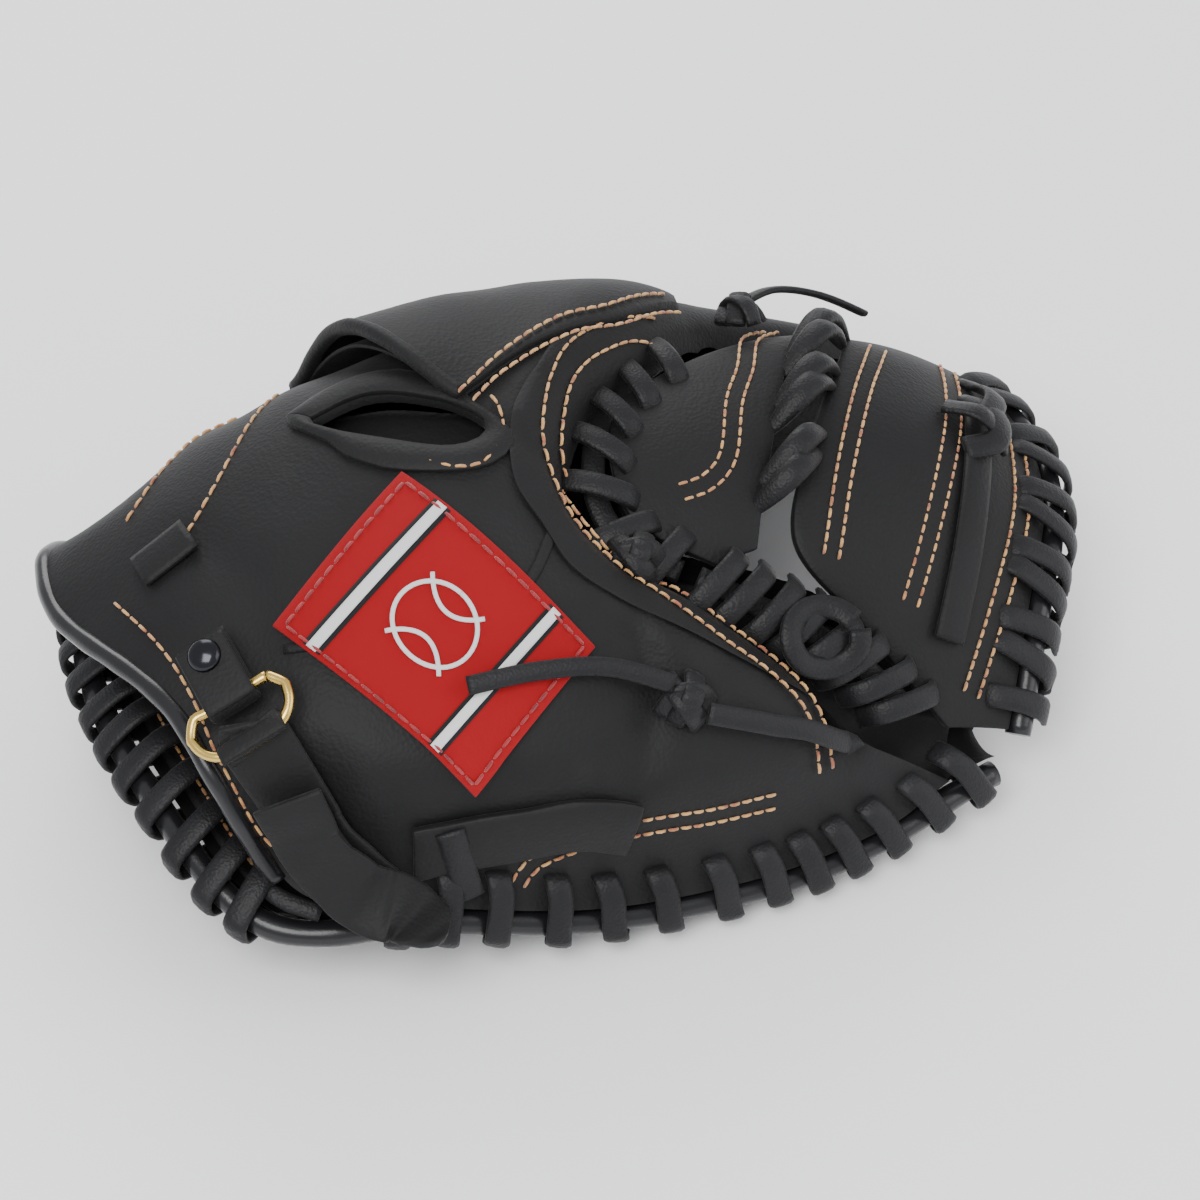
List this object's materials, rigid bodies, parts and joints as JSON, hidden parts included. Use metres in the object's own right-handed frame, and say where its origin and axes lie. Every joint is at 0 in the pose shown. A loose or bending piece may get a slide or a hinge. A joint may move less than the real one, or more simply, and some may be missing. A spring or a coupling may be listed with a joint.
{
  "type": "baseball catcher's mitt",
  "caption": "Padded leather catcher's mitt with a laced rim, a two-panel web, an index finger opening with a hood, and a wrist strap through a D-ring.",
  "frame": {"origin": "on the floor under the middle of the mitt's bounding box", "axes": "+X from the wrist towards the fingertips, +Z out of the back of the hand, thumb towards -Y, palm down"},
  "size_m": [0.2928, 0.1838, 0.1208],
  "materials": {
    "leather": "matte",
    "lining": "matte",
    "felt": "matte",
    "piping": "gloss",
    "lace": "satin",
    "patch": "matte",
    "brass": "polished",
    "steel": "gloss",
    "hook": "matte"
  },
  "bodies": {
    "hand": {"back_shell": "leather", "palm_shell": "leather", "finger_pad": "felt", "palm_pad": "felt", "heel_pad": "felt", "hand_lining": "lining", "crotch_binding": "leather", "stall_wall_1": "lining", "stall_wall_2": "lining", "index_hole_welt": "leather", "index_hood": "leather", "finger_piping": "piping", "heel_piping": "piping", "wrist_binding": "piping", "finger_lace": "lace", "heel_lace": "lace", "web_inner_panel": "leather", "web_outer_panel": "leather", "web_gap_lace_1": "lace", "web_gap_lace_2": "lace", "web_gap_lace_3": "lace", "web_strap": "leather", "web_rim_piping": "piping", "crotch_lace": "lace", "web_tail": "lace", "label_patch": "patch", "label_tail": "lace", "d_ring": "brass", "ring_tab": "leather", "tab_rivet": "steel", "pull_strap": "leather"},
    "thumb": {"thumb_back_shell": "leather", "thumb_palm_shell": "leather", "thumb_pad": "felt", "thumb_lining": "lining", "thumb_binding": "leather", "thumb_piping": "piping", "thumb_lace": "lace", "thumb_crotch_lace": "lace", "thumb_tie": "lace", "thumb_band": "leather"},
    "strap_end": {"strap_tail": "leather", "hook_pad": "hook"}
  },
  "joints": [
    {"name": "thumb_fold", "type": "hinge", "parent": "hand", "child": "thumb", "pos_m": [-0.0229, -0.0269, 0.0418], "axis": [0.786, 0.414, 0.459], "range_deg": [0, 20], "deforming": ["web_inner_panel", "web_outer_panel", "web_gap_lace_1", "web_gap_lace_2", "web_gap_lace_3", "web_strap", "web_rim_piping", "crotch_lace", "label_tail", "thumb_crotch_lace"]},
    {"name": "strap_peel", "type": "hinge", "parent": "hand", "child": "strap_end", "pos_m": [-0.1032, -0.0561, 0.0679], "axis": [-0.9122, -0.0253, -0.4089], "range_deg": [0, 110]}
  ]
}
